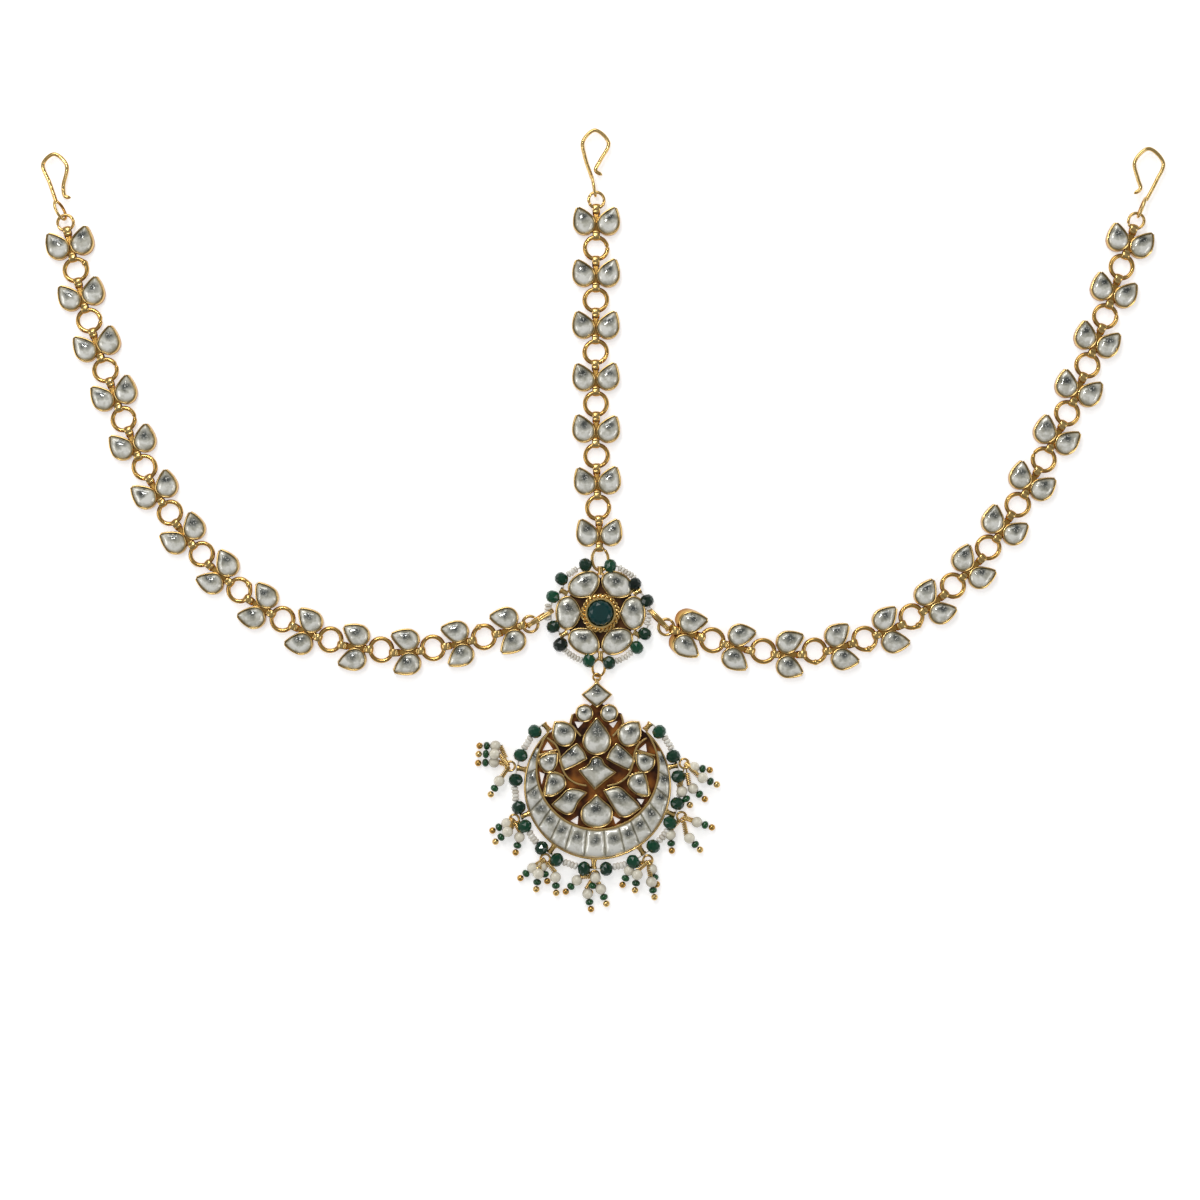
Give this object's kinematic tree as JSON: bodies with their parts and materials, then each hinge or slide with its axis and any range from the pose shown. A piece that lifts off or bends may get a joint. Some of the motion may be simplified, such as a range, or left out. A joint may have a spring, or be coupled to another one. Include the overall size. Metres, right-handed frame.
{
  "type": "matha patti",
  "caption": "Forehead ornament: stone-set link chains with hooks meet at a petalled rosette, from which hangs a pierced crescent pendant edged with beads and small drops.",
  "frame": {"origin": "centre of the rosette, on its flat back", "axes": "+Y towards the three hooks and away from the pendant, +X to the right seen from the front, +Z out of the front face"},
  "size_m": [0.3029, 0.2113, 0.0049],
  "materials": {
    "gold": "gold-plated brass, warm yellow, polished on the edges and darker in the recesses",
    "kundan": "foil-backed clear glass, silvery cream, smooth and slightly domed",
    "green_glass": "deep emerald glass, faceted and glossy",
    "pearl": "cream imitation pearl with a soft sheen"
  },
  "bodies": {
    "root": {"hook_left": "gold", "chain_left": "gold", "hook_centre": "gold", "chain_centre": "gold", "hook_right": "gold", "chain_right": "gold", "rosette_setting": "gold", "rosette_centre_stone": "green_glass", "rosette_petal_stone_1": "kundan", "rosette_petal_stone_2": "kundan", "rosette_petal_stone_3": "kundan", "rosette_petal_stone_4": "kundan", "rosette_petal_stone_5": "kundan", "rosette_petal_stone_6": "kundan", "rosette_bead_string": "green_glass", "pendant_ring": "gold", "pendant_frame": "gold", "stone_top_diamond": "kundan", "stone_round_left": "kundan", "stone_round_right": "kundan", "stone_upper_drop": "kundan", "stone_upper_pear_left": "kundan", "stone_upper_pear_right": "kundan", "stone_upper_leaf_left": "kundan", "stone_upper_leaf_right": "kundan", "stone_centre_diamond": "kundan", "stone_side_round_left": "kundan", "stone_side_round_right": "kundan", "stone_lower_pear_left": "kundan", "stone_lower_pear_right": "kundan", "stone_lower_leaf_left": "kundan", "stone_lower_leaf_right": "kundan", "stone_bottom_drop": "kundan", "crescent_stones": "kundan", "crescent_bead_string": "green_glass", "fringe_1": "pearl", "fringe_2": "pearl", "fringe_3": "pearl", "fringe_4": "pearl", "fringe_5": "pearl", "fringe_6": "pearl", "fringe_7": "pearl"}
  },
  "joints": []
}
